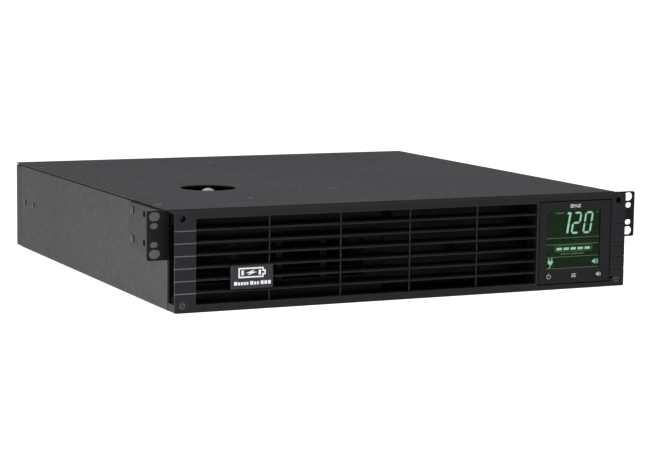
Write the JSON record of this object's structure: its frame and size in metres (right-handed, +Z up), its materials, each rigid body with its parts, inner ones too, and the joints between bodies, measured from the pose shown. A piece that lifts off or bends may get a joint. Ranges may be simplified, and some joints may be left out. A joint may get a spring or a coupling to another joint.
{
  "type": "rackmount ups",
  "caption": "Two-unit rackmount battery backup with louvred bezel, digital status module, rack ears, sliding battery tray, toroidal transformer, rear fans and outlets.",
  "frame": {"origin": "centre of the whole box's footprint, on the underside", "axes": "+X to the right seen from the front, +Y towards the rear panel, +Z up"},
  "size_m": [0.4826, 0.4692, 0.086],
  "materials": {
    "powder_coat_side": "fine textured satin powder coat",
    "powder_coat_top": "fine textured satin powder coat",
    "ear_paint": "satin black powder coat",
    "bare_sheet": "galvanised sheet",
    "bezel_plastic": "fine moulded texture",
    "module_plastic": "fine moulded texture",
    "button_plastic": "smooth satin",
    "badge_plate": "satin plate",
    "window_clear": "clear acrylic",
    "lcd_green": "backlit display",
    "screw_black": "black oxide",
    "screw_zinc": "zinc plated",
    "coil_tape": "dark polyester wrap over the windings",
    "neoprene": "matt",
    "steel_washer": "zinc plated",
    "circuit_board": "solder resist",
    "component_black": "moulded epoxy",
    "capacitor_sleeve": "shrink sleeve",
    "heatsink_alu": "extruded",
    "brass_post": "turned",
    "fan_plastic": "glass-filled nylon",
    "rotor_plastic": "glass-filled nylon",
    "guard_wire": "bright wire",
    "outlet_plastic": "satin",
    "inlet_plastic": "satin",
    "pin_brass": "nickel plated",
    "breaker_plastic": "satin",
    "reset_plastic": "satin",
    "port_metal": "nickel",
    "port_plastic": "satin",
    "wire_black": "PVC insulation",
    "wire_red": "PVC insulation",
    "battery_case": "ABS case",
    "terminal_tin": "tinned",
    "grip_plastic": "satin"
  },
  "bodies": {
    "chassis": {"chassis_base": "powder_coat_side", "top_cover": "powder_coat_top", "rear_panel": "powder_coat_side", "inner_front_panel": "ear_paint", "divider_wall": "bare_sheet", "bay_rear_wall": "bare_sheet", "tray_rails": "grip_plastic", "rack_ear_left": "ear_paint", "rack_ear_right": "ear_paint", "ear_screws": "screw_black", "case_screws": "screw_black", "transformer_toroid": "coil_tape", "transformer_pads": "neoprene", "transformer_washer": "steel_washer", "transformer_bolt": "screw_zinc", "control_board": "circuit_board", "power_board": "circuit_board", "board_standoffs": "brass_post", "heatsinks": "heatsink_alu", "power_transistors": "component_black", "bulk_capacitors": "capacitor_sleeve", "board_components": "component_black", "fan_frames": "fan_plastic", "fan_guards": "guard_wire", "fan_screws": "screw_zinc", "outlets": "outlet_plastic", "power_inlet": "inlet_plastic", "inlet_pins": "pin_brass", "breakers": "breaker_plastic", "data_ports": "port_metal", "line_jack": "port_plastic", "ground_stud": "screw_zinc", "power_leads": "wire_black", "battery_socket": "grip_plastic"},
    "battery_tray": {"battery_tray": "ear_paint", "battery_retainer": "ear_paint", "retainer_screws": "screw_black", "tray_handle": "grip_plastic", "batteries_left": "battery_case", "batteries_right": "battery_case", "battery_terminals": "terminal_tin", "battery_links": "wire_red", "battery_plug": "grip_plastic", "display_cable": "wire_black"},
    "front_bezel": {"bezel_frame": "bezel_plastic", "louvre_grille": "bezel_plastic", "nameplate": "badge_plate", "bezel_screws": "screw_black"},
    "display_module": {"display_housing": "module_plastic", "display_window": "window_clear", "lcd_panel": "lcd_green", "display_board": "circuit_board", "display_socket": "port_plastic"},
    "power_button": {"power_button": "button_plastic"},
    "mode_button": {"mode_button": "button_plastic"},
    "mute_button": {"mute_button": "button_plastic"},
    "fan_rotor_left": {"fan_rotor_left": "rotor_plastic"},
    "fan_rotor_right": {"fan_rotor_right": "rotor_plastic"},
    "reset_button_left": {"reset_button_left": "reset_plastic"},
    "reset_button_right": {"reset_button_right": "reset_plastic"}
  },
  "joints": [
    {"name": "tray_slide", "type": "slide", "parent": "chassis", "child": "battery_tray", "axis": [0, -1, 0], "range_m": [0, 0.32]},
    {"name": "bezel_pull", "type": "slide", "parent": "battery_tray", "child": "front_bezel", "axis": [0, -1, 0], "range_m": [0, 0.08]},
    {"name": "display_pull", "type": "slide", "parent": "front_bezel", "child": "display_module", "axis": [0, -1, 0], "range_m": [0, 0.03]},
    {"name": "power_press", "type": "slide", "parent": "display_module", "child": "power_button", "axis": [0, 1, 0], "range_m": [0, 0.0008], "stiffness_N_per_m": 800, "springref_m": -0.0006},
    {"name": "mode_press", "type": "slide", "parent": "display_module", "child": "mode_button", "axis": [0, 1, 0], "range_m": [0, 0.0008], "stiffness_N_per_m": 800, "springref_m": -0.0006},
    {"name": "mute_press", "type": "slide", "parent": "display_module", "child": "mute_button", "axis": [0, 1, 0], "range_m": [0, 0.0008], "stiffness_N_per_m": 800, "springref_m": -0.0006},
    {"name": "fan_left_spin", "type": "hinge", "parent": "chassis", "child": "fan_rotor_left", "pos_m": [-0.172, 0.2121, 0.0423], "axis": [0, 1, 0], "continuous": true},
    {"name": "fan_right_spin", "type": "hinge", "parent": "chassis", "child": "fan_rotor_right", "pos_m": [-0.088, 0.2121, 0.0423], "axis": [0, 1, 0], "continuous": true},
    {"name": "reset_left_pop", "type": "slide", "parent": "chassis", "child": "reset_button_left", "axis": [0, 1, 0], "range_m": [0, 0.003]},
    {"name": "reset_right_pop", "type": "slide", "parent": "chassis", "child": "reset_button_right", "axis": [0, 1, 0], "range_m": [0, 0.003]}
  ]
}
